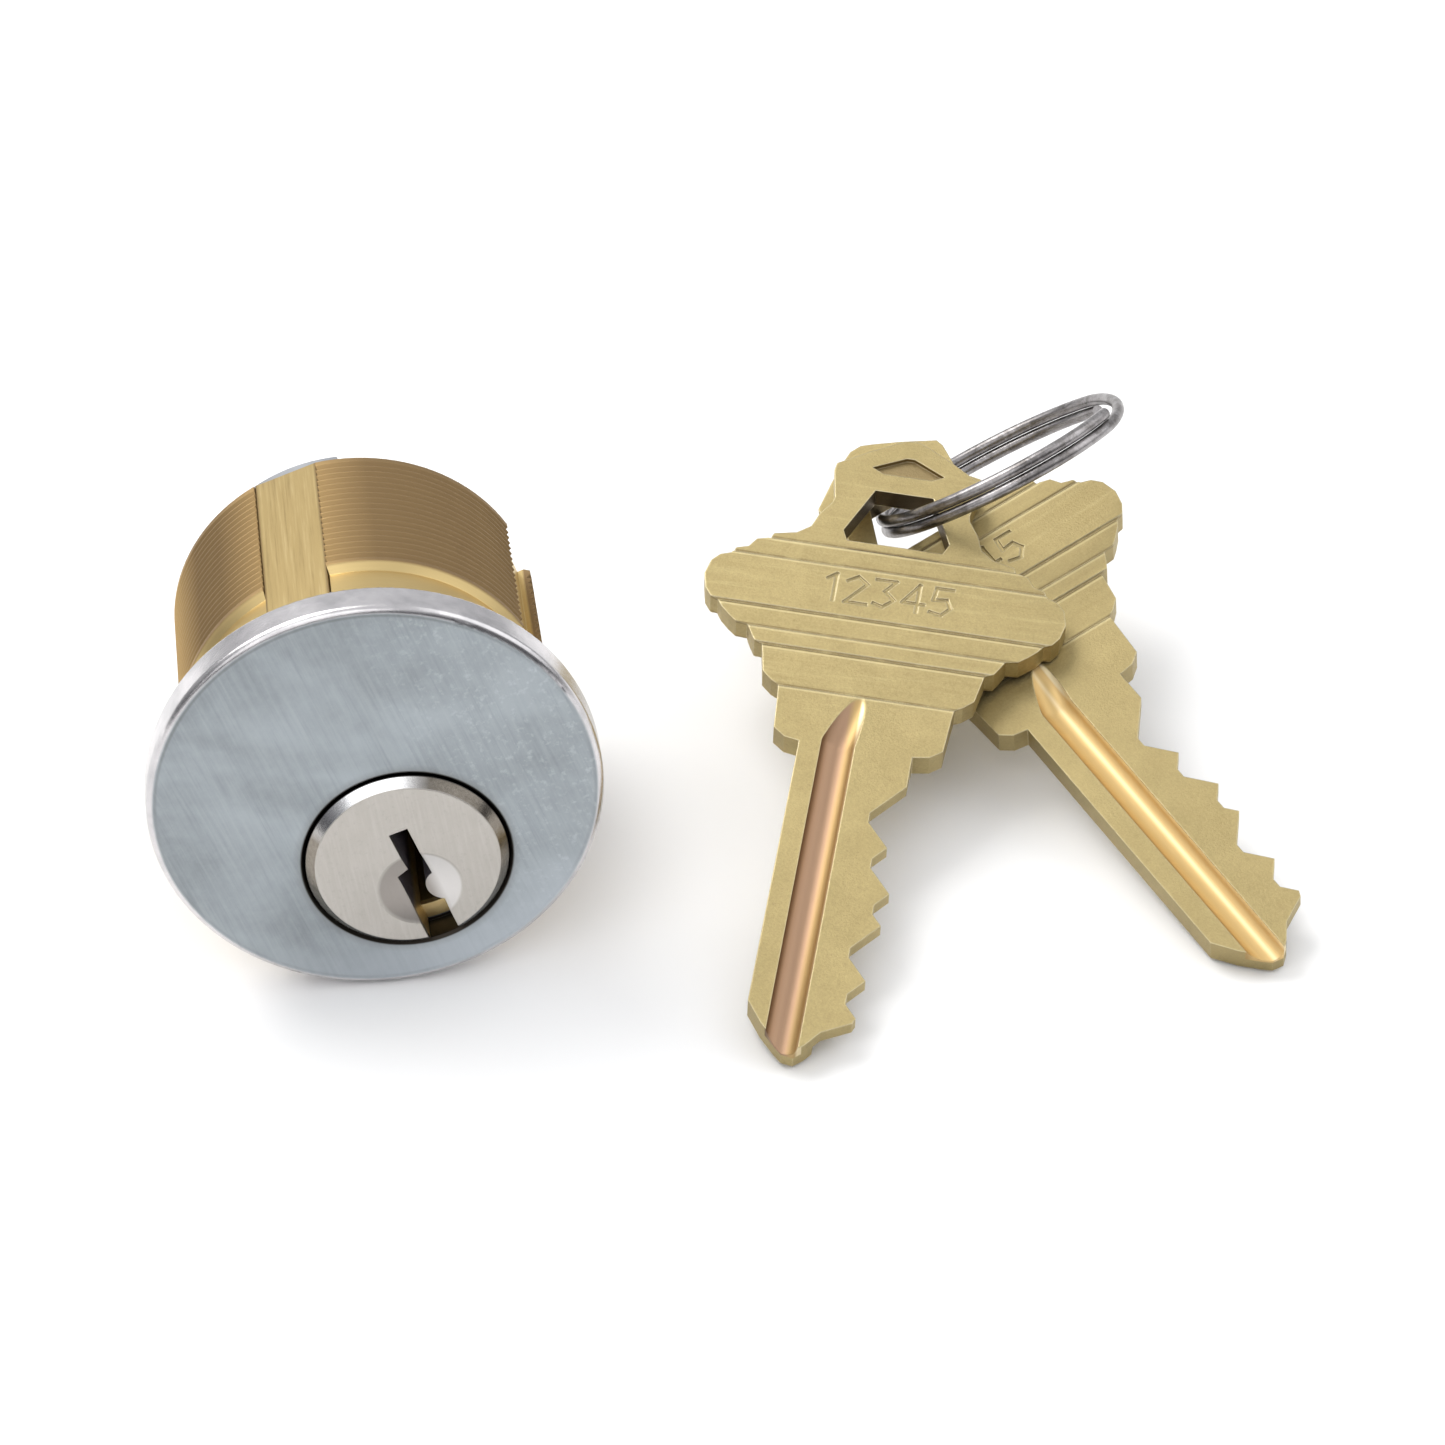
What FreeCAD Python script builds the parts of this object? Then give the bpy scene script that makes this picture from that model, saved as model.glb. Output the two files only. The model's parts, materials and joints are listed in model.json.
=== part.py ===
# Mortise lock cylinder lying on its side, with its two keys on a split ring.
# Millimetres. The lock is built in its own frame: origin on the shell axis at the
# seating face of the head, +Y towards the rear, +Z towards the pin chambers.
# A key is built flat: +X towards its tip, +Y towards its cuts, +Z its grooved side.
# The ring is built flat around +Z. Placements at the end of each part lay them out.
import FreeCAD
import Part
import math
import os
from FreeCAD import Vector, Rotation, Placement

doc = FreeCAD.newDocument("mortise_cylinder")
sheet = doc.addObject("Spreadsheet::Sheet", "dims")

DIMS = [
    ("head_radius", 17.7), ("head_thickness", 3.0), ("head_round", 0.6),
    ("body_radius", 14.6), ("body_length", 24.2), ("relief_radius", 14.0),
    ("relief_length", 8.0), ("thread_pitch", 0.794), ("thread_depth", 0.3),
    ("plug_drop", 6.2), ("plug_radius", 6.35), ("bore_radius", 6.4),
    ("plug_head_radius", 7.95), ("counterbore_radius", 8.05), ("counterbore_depth", 2.4),
    ("plug_proud", 0.8), ("plug_bevel", 0.75), ("axial_play", 0.05),
    ("pin_pitch", 4.31), ("first_pin", 6.4), ("pin_radius", 1.46),
    ("chamber_radius", 1.5), ("chamber_floor", 1.3), ("driver_length", 5.0),
    ("cover_width", 5.2), ("cover_thickness", 1.0), ("cover_floor", 13.05),
    ("cover_gap", 0.06), ("collar_radius", 14.4), ("collar_length", 0.3),
    ("setscrew_width", 4.9), ("setscrew_depth", 1.25),
    ("spring_mean_radius", 1.18), ("spring_wire_radius", 0.14), ("spring_pitch", 0.86),
    ("cam_thickness", 2.4), ("cam_hub_radius", 7.6), ("cam_half_width", 3.9),
    ("cam_end_radius", 13.0), ("tip_relief", 1.5), ("tip_relief_width", 3.2),
    ("tip_relief_height", 4.2), ("cam_screw_offset", 4.25), ("cam_screw_radius", 1.2),
    ("cam_screw_length", 4.4), ("cam_screw_head", 2.3), ("cam_screw_head_height", 1.5),
    ("dish_radius", 3.4), ("dish_depth", 0.6), ("dish_drop", 2.5),
    ("key_scale", 1.08), ("key_thickness", 2.3), ("key_height", 8.7),
    ("key_groove_low", 1.65), ("key_groove_high", 4.2), ("key_groove_depth", 0.95),
    ("key_mill_from", 5.1), ("key_mill_depth", 1.0), ("key_seat", 6.3),
    ("keyway_clearance", 0.12), ("ring_mean_radius", 11.0), ("ring_wire_radius", 0.5),
    ("ring_coil_step", 1.04),
]
D = {}
for row, (alias, value) in enumerate(DIMS, start=1):
    sheet.set("A%d" % row, alias)
    sheet.set("B%d" % row, repr(value))
    sheet.setAlias("B%d" % row, alias)
    D[alias] = value
doc.recompute()

# Depth codes of the five cuts, and the cut heights they give above the back edge.
CUT_CODES = [6, 4, 2, 5, 4]
CUT_HEIGHTS = [D["key_scale"] * 25.4 * (0.335 - 0.015 * code) for code in CUT_CODES]
PIN_COUNT = len(CUT_CODES)
PIN_Y = [D["first_pin"] - D["head_thickness"] - D["plug_proud"] + i * D["pin_pitch"]
         for i in range(PIN_COUNT)]

HEAD_BACK_ROUND, REAR_CHAMFER = 0.2, 0.5

ALONG_Y = Rotation(Vector(1, 0, 0), -90)
IN_XZ = Rotation(Vector(1, 0, 0), 90)


def put(obj, base, rotation=None):
    obj.Placement = Placement(Vector(*base), rotation or Rotation())
    return obj


def bind(obj, **expressions):
    for prop, expression in expressions.items():
        obj.setExpression(prop, expression)
    return obj


def cylinder(name, radius, height, base, rotation=None):
    obj = put(doc.addObject("Part::Cylinder", name), base, rotation)
    return bind(obj, Radius=radius, Height=height)


def cone(name, radius_1, radius_2, height, base, rotation=None):
    obj = put(doc.addObject("Part::Cone", name), base, rotation)
    return bind(obj, Radius1=radius_1, Radius2=radius_2, Height=height)


def box(name, length, width, height, base, rotation=None):
    obj = put(doc.addObject("Part::Box", name), base, rotation)
    return bind(obj, Length=length, Width=width, Height=height)


def polygon(name, points, rotation=None, base=(0, 0, 0)):
    sketch = put(doc.addObject("Sketcher::SketchObject", name), base, rotation)
    corners = [Vector(x, y, 0) for x, y in points]
    sketch.addGeometry([Part.LineSegment(a, b) for a, b in
                        zip(corners, corners[1:] + corners[:1])], False)
    return sketch


def extrude(name, sketch, direction, length):
    obj = doc.addObject("Part::Extrusion", name)
    obj.Base = sketch
    obj.DirMode = "Custom"
    obj.Dir = Vector(*direction)
    obj.Solid = True
    return bind(obj, LengthFwd=length)


def fuse(name, shapes):
    obj = doc.addObject("Part::MultiFuse", name)
    obj.Shapes = shapes
    obj.Refine = True
    return obj


def cut(name, base, tool):
    obj = doc.addObject("Part::Cut", name)
    obj.Base = base
    obj.Tool = tool
    obj.Refine = True
    return obj


finished = []


def finish(obj, label, placement):
    obj.Label = label
    obj.Placement = placement
    finished.append(obj)
    return obj


def bent_wire(label, path, radius, placement):
    """Round wire swept along a smooth curve through the points of the path."""
    curve = Part.BSplineCurve()
    curve.interpolate(path)
    spine = doc.addObject("Part::Feature", "%s_path" % label)
    spine.Shape = Part.Wire([curve.toShape()])
    start, first = curve.value(curve.FirstParameter), curve.FirstParameter
    wire = bind(put(doc.addObject("Part::Circle", "%s_wire" % label), start,
                    Rotation(Vector(0, 0, 1), curve.tangent(first)[0])), Radius=radius)
    sweep = doc.addObject("Part::Sweep", "%s_part" % label)
    sweep.Sections = [wire]
    sweep.Spine = (spine, ["Edge1"])
    sweep.Solid = True
    sweep.Frenet = False
    return finish(sweep, label, placement)


# Everything is laid out on a table and then moved so that the origin is the middle of
# the set's footprint.
SET_SHIFT = Vector(-0.695, 5.967, 0.002)

# The lock lies on its head's rim and its rear rim, turned a little about the upright,
# with its chambers rolled over to one side.
LOCK_ROLL = -20.0
LOCK_TILT = -math.degrees(math.atan((D["head_radius"] - D["body_radius"])
                                    / (D["body_length"] - REAR_CHAMFER + HEAD_BACK_ROUND)))
LOCK_YAW = 6.852
LOCK_BASE = Vector(-27.05, -25.9, 17.527)
LOCK = Placement(LOCK_BASE + SET_SHIFT, Rotation(Vector(0, 0, 1), LOCK_YAW)
                 * Rotation(Vector(1, 0, 0), LOCK_TILT)
                 * Rotation(Vector(0, 1, 0), LOCK_ROLL))


def in_lock(x, y, z):
    return LOCK * Placement(Vector(x, y, z), Rotation())


# ---- Cylinder shell: head, relieved neck and threaded body in one piece ----
head_blank = cylinder("head_blank", "dims.head_radius", "dims.head_thickness",
                      (0, -D["head_thickness"], 0), ALONG_Y)
neck = cylinder("neck", "dims.relief_radius", "dims.body_length", (0, 0, 0), ALONG_Y)
doc.recompute()
front_edges = [i for i, edge in enumerate(head_blank.Shape.Edges, start=1)
               if abs(edge.CenterOfMass.y + D["head_thickness"]) < 1e-6]
back_edges = [i for i, edge in enumerate(head_blank.Shape.Edges, start=1)
              if abs(edge.CenterOfMass.y) < 1e-6]
head = doc.addObject("Part::Fillet", "head")
head.Base = head_blank
head.Edges = ([(i, D["head_round"], D["head_round"]) for i in front_edges]
              + [(i, HEAD_BACK_ROUND, HEAD_BACK_ROUND) for i in back_edges])

# The thread is a comb of parallel V grooves on its real pitch.
crest, root = D["body_radius"], D["body_radius"] - D["thread_depth"]
inner = D["relief_radius"] - 1.0
flat = D["thread_pitch"] / 8.0
comb = [(inner, D["relief_length"]), (D["relief_radius"], D["relief_length"]),
        (crest, D["relief_length"] + 0.6)]
y = D["relief_length"] + 0.6 + D["thread_pitch"] / 2.0
while y + D["thread_pitch"] < D["body_length"] - REAR_CHAMFER:
    comb += [(crest, y), (root, y + (D["thread_pitch"] - 2 * flat) / 2.0),
             (root, y + D["thread_pitch"] / 2.0), (crest, y + D["thread_pitch"] - flat)]
    y += D["thread_pitch"]
comb += [(crest, D["body_length"] - REAR_CHAMFER),
         (crest - REAR_CHAMFER, D["body_length"]),
         (inner, D["body_length"])]
thread = doc.addObject("Part::Revolution", "thread")
thread.Source = polygon("thread_comb", comb)
thread.Axis = Vector(0, 1, 0)
thread.Angle = 360
thread.Solid = True
collar = cylinder("collar", "dims.collar_radius", "dims.collar_length", (0, 0, 0), ALONG_Y)
shell_blank = fuse("shell_blank", [head, neck, collar, thread])

half_slot = D["cover_width"] / 2.0 + D["cover_gap"]
shell_tools = [
    cylinder("plug_bore", "dims.bore_radius", "dims.body_length + 10 * dims.head_thickness",
             (0, -10, -D["plug_drop"]), ALONG_Y),
    cylinder("counterbore", "dims.counterbore_radius", "dims.counterbore_depth + 2",
             (0, -D["head_thickness"] - 2, -D["plug_drop"]), ALONG_Y),
    cone("counterbore_chamfer", "dims.counterbore_radius + 1.2",
         "dims.counterbore_radius - 0.8", "2",
         (0, -D["head_thickness"] - 1.0, -D["plug_drop"]), ALONG_Y),
    box("cover_slot", "dims.cover_width + 2 * dims.cover_gap", "dims.body_length + 1",
        "5", (-half_slot, D["collar_length"], D["cover_floor"])),
]
for side in (-1, 1):
    x = side * D["body_radius"] - (D["setscrew_depth"] if side > 0 else 2.0)
    shell_tools.append(box("setscrew_groove_%s" % ("left" if side < 0 else "right"),
                           "dims.setscrew_depth + 2", "dims.body_length + 1",
                           "dims.setscrew_width",
                           (x, D["collar_length"], -D["setscrew_width"] / 2.0)))
for i, y in enumerate(PIN_Y, start=1):
    shell_tools.append(cylinder("driver_chamber_%d" % i, "dims.chamber_radius",
                                "dims.cover_floor + 1", (0, y, -0.5)))
shell = cut("shell", shell_blank, fuse("shell_tools", shell_tools))
finish(shell, "cylinder_shell", LOCK)

# ---- Strip that closes the pin chambers ----
cover = box("cover", "dims.cover_width", "dims.body_length - dims.collar_length",
            "dims.cover_thickness", (0, 0, 0))
finish(cover, "chamber_cover",
       in_lock(-D["cover_width"] / 2.0, D["collar_length"], D["cover_floor"]))


# ---- Key section, shared by the blade and the keyway ----
def scaled(name):
    return D[name] * D["key_scale"]


HALF = D["key_thickness"] / 2.0
MILL_X = -HALF + D["key_mill_depth"]

# The groove is a round trough: its radius, and its middle across and above the blade.
GROOVE_HALF = (scaled("key_groove_high") - scaled("key_groove_low")) / 2.0
GROOVE_RADIUS = ((GROOVE_HALF ** 2 + D["key_groove_depth"] ** 2)
                 / (2 * D["key_groove_depth"]))
GROOVE_Y = scaled("key_groove_low") + GROOVE_HALF
GROOVE_Z = HALF - D["key_groove_depth"] + GROOVE_RADIUS

# ---- Plug ----
gap = D["keyway_clearance"]
seat = -D["plug_drop"] - D["key_seat"]
mill, top = seat + scaled("key_mill_from"), seat + scaled("key_height")
keyway = [
    (-HALF - gap, -D["plug_drop"] - 9.0), (HALF + gap, -D["plug_drop"] - 9.0),
    (HALF + gap, top + gap), (MILL_X - gap, top + gap),
    (MILL_X - gap, mill + gap), (-HALF - gap, mill + gap - 0.35),
]
plug_front = -D["head_thickness"] - D["plug_proud"]
plug_back = D["body_length"] + D["axial_play"]
shoulder = -D["head_thickness"] + D["counterbore_depth"] - D["axial_play"]
plug_blank = fuse("plug_blank", [
    cylinder("plug_barrel", "dims.plug_radius",
             "dims.body_length + dims.axial_play + dims.head_thickness",
             (0, -D["head_thickness"], -D["plug_drop"]), ALONG_Y),
    cone("plug_bevel_ring", "dims.plug_head_radius - dims.plug_bevel",
         "dims.plug_head_radius", "dims.plug_bevel",
         (0, plug_front, -D["plug_drop"]), ALONG_Y),
    cylinder("plug_head", "dims.plug_head_radius",
             "dims.counterbore_depth + dims.plug_proud - dims.plug_bevel - dims.axial_play",
             (0, plug_front + D["plug_bevel"], -D["plug_drop"]), ALONG_Y),
])
dish = D["dish_radius"] ** 2 / (2 * D["dish_depth"]) + D["dish_depth"] / 2.0
keyway_blank = extrude("keyway_blank", polygon("keyway", keyway, IN_XZ, (0, -10, 0)),
                       (0, 1, 0), "dims.body_length + 20")
ward = cylinder("ward", "%g - dims.keyway_clearance" % GROOVE_RADIUS,
                "dims.body_length + 30", (GROOVE_Z, -15, seat + GROOVE_Y), ALONG_Y)
plug_tools = [
    cut("keyway_cut", keyway_blank, ward),
    bind(put(doc.addObject("Part::Sphere", "key_dish"),
             (0, plug_front - dish + D["dish_depth"], -D["plug_drop"] - D["dish_drop"])),
         Radius="dims.dish_radius ^ 2 / (2 * dims.dish_depth) + dims.dish_depth / 2"),
]
for i, y in enumerate(PIN_Y, start=1):
    plug_tools.append(cylinder("key_chamber_%d" % i, "dims.chamber_radius",
                               "dims.plug_radius + dims.chamber_floor + 1",
                               (0, y, -D["plug_drop"] - D["chamber_floor"])))
for side in (-1, 1):
    plug_tools.append(cylinder("screw_hole_%s" % ("left" if side < 0 else "right"),
                               "dims.cam_screw_radius + 0.02", "dims.cam_screw_length + 1",
                               (side * D["cam_screw_offset"],
                                plug_back - D["cam_screw_length"] + D["cam_thickness"],
                                -D["plug_drop"]), ALONG_Y))
plug = cut("plug_part", plug_blank, fuse("plug_tools", plug_tools))
finish(plug, "plug", LOCK)

# ---- Cam on the back of the plug, and its two screws ----
cam_arm = doc.addObject("Part::MultiCommon", "cam_arm")
cam_arm.Shapes = [
    box("cam_arm_blank", "2 * dims.cam_half_width", "dims.cam_thickness",
        "dims.cam_end_radius + dims.plug_drop",
        (-D["cam_half_width"], plug_back, -D["plug_drop"])),
    cylinder("cam_end", "dims.cam_end_radius", "dims.cam_thickness",
             (0, plug_back, 0), ALONG_Y)]
cam_blank = fuse("cam_blank", [
    cylinder("cam_hub", "dims.cam_hub_radius", "dims.cam_thickness",
             (0, plug_back, -D["plug_drop"]), ALONG_Y),
    cam_arm])
cam_tools = fuse("cam_tools", [
    box("key_tip_relief", "dims.tip_relief_width", "dims.tip_relief + 1",
        "dims.tip_relief_height", (-D["tip_relief_width"] / 2.0, plug_back - 1,
                                   seat + 1.2 * D["key_scale"])),
] + [
    cylinder("cam_hole_%s" % ("left" if side < 0 else "right"),
             "dims.cam_screw_radius + 0.02", "dims.cam_thickness + 2",
             (side * D["cam_screw_offset"], plug_back - 1, -D["plug_drop"]), ALONG_Y)
    for side in (-1, 1)])
finish(cut("cam_part", cam_blank, cam_tools), "cam", LOCK)

screws = []
for side in (-1, 1):
    tag = "left" if side < 0 else "right"
    x = side * D["cam_screw_offset"]
    back = plug_back + D["cam_thickness"]
    screw = fuse("cam_screw_blank_%s" % tag, [
        cylinder("cam_screw_shank_%s" % tag, "dims.cam_screw_radius",
                 "dims.cam_screw_length + 0.2",
                 (x, back - D["cam_screw_length"], -D["plug_drop"]), ALONG_Y),
        cone("cam_screw_head_%s" % tag, "dims.cam_screw_head", "dims.cam_screw_head - 0.6",
             "dims.cam_screw_head_height", (x, back, -D["plug_drop"]), ALONG_Y)])
    slot = box("cam_screw_slot_%s" % tag, "0.7", "1", "6",
               (x - 0.35, back + D["cam_screw_head_height"] - 0.7, -D["plug_drop"] - 3))
    screws.append(cut("cam_screw_%s" % tag, screw, slot))
pair = doc.addObject("Part::Compound", "cam_screw_pair")
pair.Links = screws
finish(pair, "cam_screws", LOCK)

# ---- Pin stacks: key pin in the plug, driver pin and spring in the shell ----
driver_seat = -D["plug_drop"] + D["plug_radius"] + 0.07
spring_low = driver_seat + D["driver_length"]
for i, y in enumerate(PIN_Y, start=1):
    cut_z = seat + CUT_HEIGHTS[i - 1]
    length = -D["plug_drop"] + D["plug_radius"] - 0.06 - cut_z
    tip, crown = 0.95, 0.22
    shank = round(length - tip - crown, 3)
    key_pin = fuse("key_pin_%d_part" % i, [
        cone("key_pin_tip_%d" % i, "0.5", "dims.pin_radius", "%g" % tip, (0, 0, 0)),
        cylinder("key_pin_shank_%d" % i, "dims.pin_radius",
                 "%.3f" % shank, (0, 0, tip)),
        cone("key_pin_crown_%d" % i, "dims.pin_radius", "dims.pin_radius - 0.4",
             "%g" % crown, (0, 0, tip + shank)),
    ])
    finish(key_pin, "key_pin_%d" % i, in_lock(0, y, cut_z))
    driver_pin = fuse("driver_pin_%d_part" % i, [
        cone("driver_foot_%d" % i, "dims.pin_radius - 0.25", "dims.pin_radius", "0.25",
             (0, 0, 0)),
        cylinder("driver_shank_%d" % i, "dims.pin_radius", "dims.driver_length - 0.45",
                 (0, 0, 0.25)),
        cone("driver_crown_%d" % i, "dims.pin_radius", "dims.pin_radius - 0.2", "0.2",
             (0, 0, D["driver_length"] - 0.2)),
    ])
    finish(driver_pin, "driver_pin_%d" % i, in_lock(0, y, driver_seat))
    height = D["cover_floor"] - spring_low - 2 * D["spring_wire_radius"] - 0.04
    turns = height / D["spring_pitch"]
    steps = int(round(turns * 16))
    coil = [Vector(D["spring_mean_radius"] * math.cos(2 * math.pi * turns * n / steps),
                   D["spring_mean_radius"] * math.sin(2 * math.pi * turns * n / steps),
                   height * n / steps) for n in range(steps + 1)]
    bent_wire("pin_spring_%d" % i, coil, "dims.spring_wire_radius",
              in_lock(0, y, spring_low + D["spring_wire_radius"] + 0.02))

# ---- Keys ----
K = D["key_scale"]
MIDDLE = D["key_height"] / 2.0

# Half widths of the bow against the distance behind the shoulder, shoulder to top.
BOW = [(0.0, 4.35), (0.2, 5.5), (0.9, 6.4), (3.9, 6.6), (4.85, 6.7), (5.2, 7.3),
       (5.9, 8.05), (7.6, 8.35), (8.4, 8.5), (8.6, 9.15), (9.2, 9.5), (10.0, 9.9),
       (10.1, 10.8), (10.6, 11.4), (11.3, 12.1), (11.9, 12.5), (12.1, 13.1),
       (12.8, 13.6), (14.1, 13.9), (15.4, 13.6), (16.1, 13.0), (16.4, 12.2),
       (17.0, 11.9), (17.3, 11.0), (18.1, 10.5), (18.4, 9.5), (18.9, 9.3), (19.3, 7.6),
       (20.1, 6.6), (21.4, 6.15), (22.7, 5.35), (23.2, 5.25), (25.8, 5.7), (26.5, 5.6),
       (28.1, 3.2), (29.2, 1.3), (29.6, 0.5)]

# The bow is relieved: each band across it has its own height above the middle plane,
# and a fine V line marks each border between two bands.
BANDS = [(0.0, 4.85, 1.15), (4.85, 8.4, 1.07), (8.4, 10.0, 1.15), (10.0, 11.9, 1.08),
         (11.9, 16.7, 1.15), (16.7, 18.5, 1.07), (18.5, 29.6, 1.0)]
LINE_HALF_WIDTH, LINE_DEPTH = 0.16, 0.09


def bow_width(back):
    for (b0, w0), (b1, w1) in zip(BOW, BOW[1:]):
        if b0 <= back <= b1:
            return w0 + (w1 - w0) * (back - b0) / (b1 - b0)
    return BOW[-1][1]


def band_outline(start, end):
    edge = [(start, bow_width(start))]
    edge += [(b, w) for b, w in BOW if start < b < end]
    edge += [(end, bow_width(end))]
    lower = [(-K * b, K * (MIDDLE - w)) for b, w in edge]
    upper = [(-K * b, K * (MIDDLE + w)) for b, w in reversed(edge)]
    return lower + upper


def blade_outline():
    """Blade with its five cuts: flat roots 0.8 wide, flanks 40 degrees off the blade."""
    rise = math.tan(math.radians(40.0))
    root_half = 0.42 * K
    full = K * D["key_height"]
    first = D["first_pin"]
    points = [(-K, 0.0), (K * 23.2, 0.0), (K * 24.9, K * 1.2), (K * 26.2, K * 2.4),
              (K * 26.75, K * 3.0), (K * 26.9, K * 3.9), (K * 26.3, K * 4.6),
              (K * 25.0, K * 5.6)]
    centres = [first + i * D["pin_pitch"] for i in range(PIN_COUNT)]
    tip_peak = K * 7.9
    last = centres[-1] + root_half
    points += [(last + (tip_peak - CUT_HEIGHTS[-1]) / rise + 0.5, tip_peak - 0.2),
               (last + (tip_peak - CUT_HEIGHTS[-1]) / rise, tip_peak)]
    for i in range(PIN_COUNT - 1, -1, -1):
        points += [(centres[i] + root_half, CUT_HEIGHTS[i]),
                   (centres[i] - root_half, CUT_HEIGHTS[i])]
        if i > 0:
            span = centres[i] - centres[i - 1] - 2 * root_half
            drop = CUT_HEIGHTS[i - 1] - CUT_HEIGHTS[i]
            run = (span + drop / rise) / 2.0
            peak = CUT_HEIGHTS[i] + run * rise
            x = centres[i] - root_half - run
            if peak > full:
                over = (peak - full) / rise
                points += [(x + over, full), (x - over, full)]
            else:
                points.append((x, peak))
    start = centres[0] - root_half - (full - 0.15 - CUT_HEIGHTS[0]) / rise
    points += [(start, full - 0.15), (-K, full - 0.15)]
    return points


# Stick digits for a neutral five-figure stamp, each a list of strokes in a unit cell.
DIGITS = {
    "1": [((0.25, 0.8), (0.5, 1.0)), ((0.5, 1.0), (0.5, 0.0))],
    "2": [((0.0, 0.8), (0.3, 1.0)), ((0.3, 1.0), (0.6, 0.75)), ((0.6, 0.75), (0.0, 0.0)),
          ((0.0, 0.0), (0.65, 0.0))],
    "3": [((0.0, 1.0), (0.6, 1.0)), ((0.6, 1.0), (0.3, 0.6)), ((0.3, 0.6), (0.6, 0.3)),
          ((0.6, 0.3), (0.3, 0.0)), ((0.3, 0.0), (0.0, 0.1))],
    "4": [((0.45, 0.0), (0.45, 1.0)), ((0.45, 1.0), (0.0, 0.3)), ((0.0, 0.3), (0.65, 0.3))],
    "5": [((0.6, 1.0), (0.1, 1.0)), ((0.1, 1.0), (0.05, 0.55)), ((0.05, 0.55), (0.45, 0.6)),
          ((0.45, 0.6), (0.6, 0.3)), ((0.6, 0.3), (0.35, 0.0)), ((0.35, 0.0), (0.0, 0.08))],
}
STAMP = "12345"
STAMP_HEIGHT, STAMP_PITCH, STAMP_STROKE, STAMP_DEPTH = 2.7, 2.35, 0.3, 0.16


def stamp_strokes(key):
    """Narrow boxes sunk into the middle band; the figures stand upright towards the top."""
    strokes = []
    width = STAMP_PITCH * len(STAMP)
    for place, figure in enumerate(STAMP):
        left = K * MIDDLE - width / 2.0 + place * STAMP_PITCH + 0.3
        for (u0, v0), (u1, v1) in DIGITS[figure]:
            ax, ay = -K * 14.6 + STAMP_HEIGHT * (0.5 - v0), left + STAMP_HEIGHT * u0
            bx, by = -K * 14.6 + STAMP_HEIGHT * (0.5 - v1), left + STAMP_HEIGHT * u1
            run = math.hypot(bx - ax, by - ay)
            angle = math.degrees(math.atan2(by - ay, bx - ax))
            turn = Rotation(Vector(0, 0, 1), angle)
            corner = Vector(ax, ay, HALF - STAMP_DEPTH) - turn.multVec(
                Vector(STAMP_STROKE / 2.0, STAMP_STROKE / 2.0, 0))
            strokes.append(box("%s_stroke_%d" % (key, len(strokes)),
                               "%.4f" % (run + STAMP_STROKE), "%g" % STAMP_STROKE, "1",
                               corner, turn))
    return strokes


def border_lines(key):
    """V lines across both faces of the bow, one at each border between bands."""
    lines = []
    for i, ((_, back, below), (_, _, above)) in enumerate(zip(BANDS, BANDS[1:])):
        face = min(below, above)
        for side in (1, -1):
            section = [(-K * back - LINE_HALF_WIDTH, side * (face + 0.2)),
                       (-K * back - LINE_HALF_WIDTH, side * face),
                       (-K * back, side * (face - LINE_DEPTH)),
                       (-K * back + LINE_HALF_WIDTH, side * face),
                       (-K * back + LINE_HALF_WIDTH, side * (face + 0.2))]
            sketch = polygon("%s_line_sketch_%d_%d" % (key, i, side > 0), section, IN_XZ,
                             (0, -20, 0))
            lines.append(extrude("%s_line_%d_%d" % (key, i, side > 0), sketch,
                                 (0, 1, 0), "50"))
    return lines


def groove_tools(key):
    """Round trough along the blade that rises and narrows to a point in the bow."""
    elbow = Vector(-K * 0.3, GROOVE_Y, GROOVE_Z)
    rise = Vector(-K * 4.3, K * 4.0 - GROOVE_Y, D["key_groove_depth"])
    radius = "%g" % GROOVE_RADIUS
    return [
        cylinder("%s_groove" % key, radius, "40", elbow, Rotation(Vector(0, 1, 0), 90)),
        bind(put(doc.addObject("Part::Sphere", "%s_groove_elbow" % key), elbow),
             Radius=radius),
        cylinder("%s_run_out" % key, radius, "9", elbow,
                 Rotation(Vector(0, 0, 1), rise)),
    ]


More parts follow.
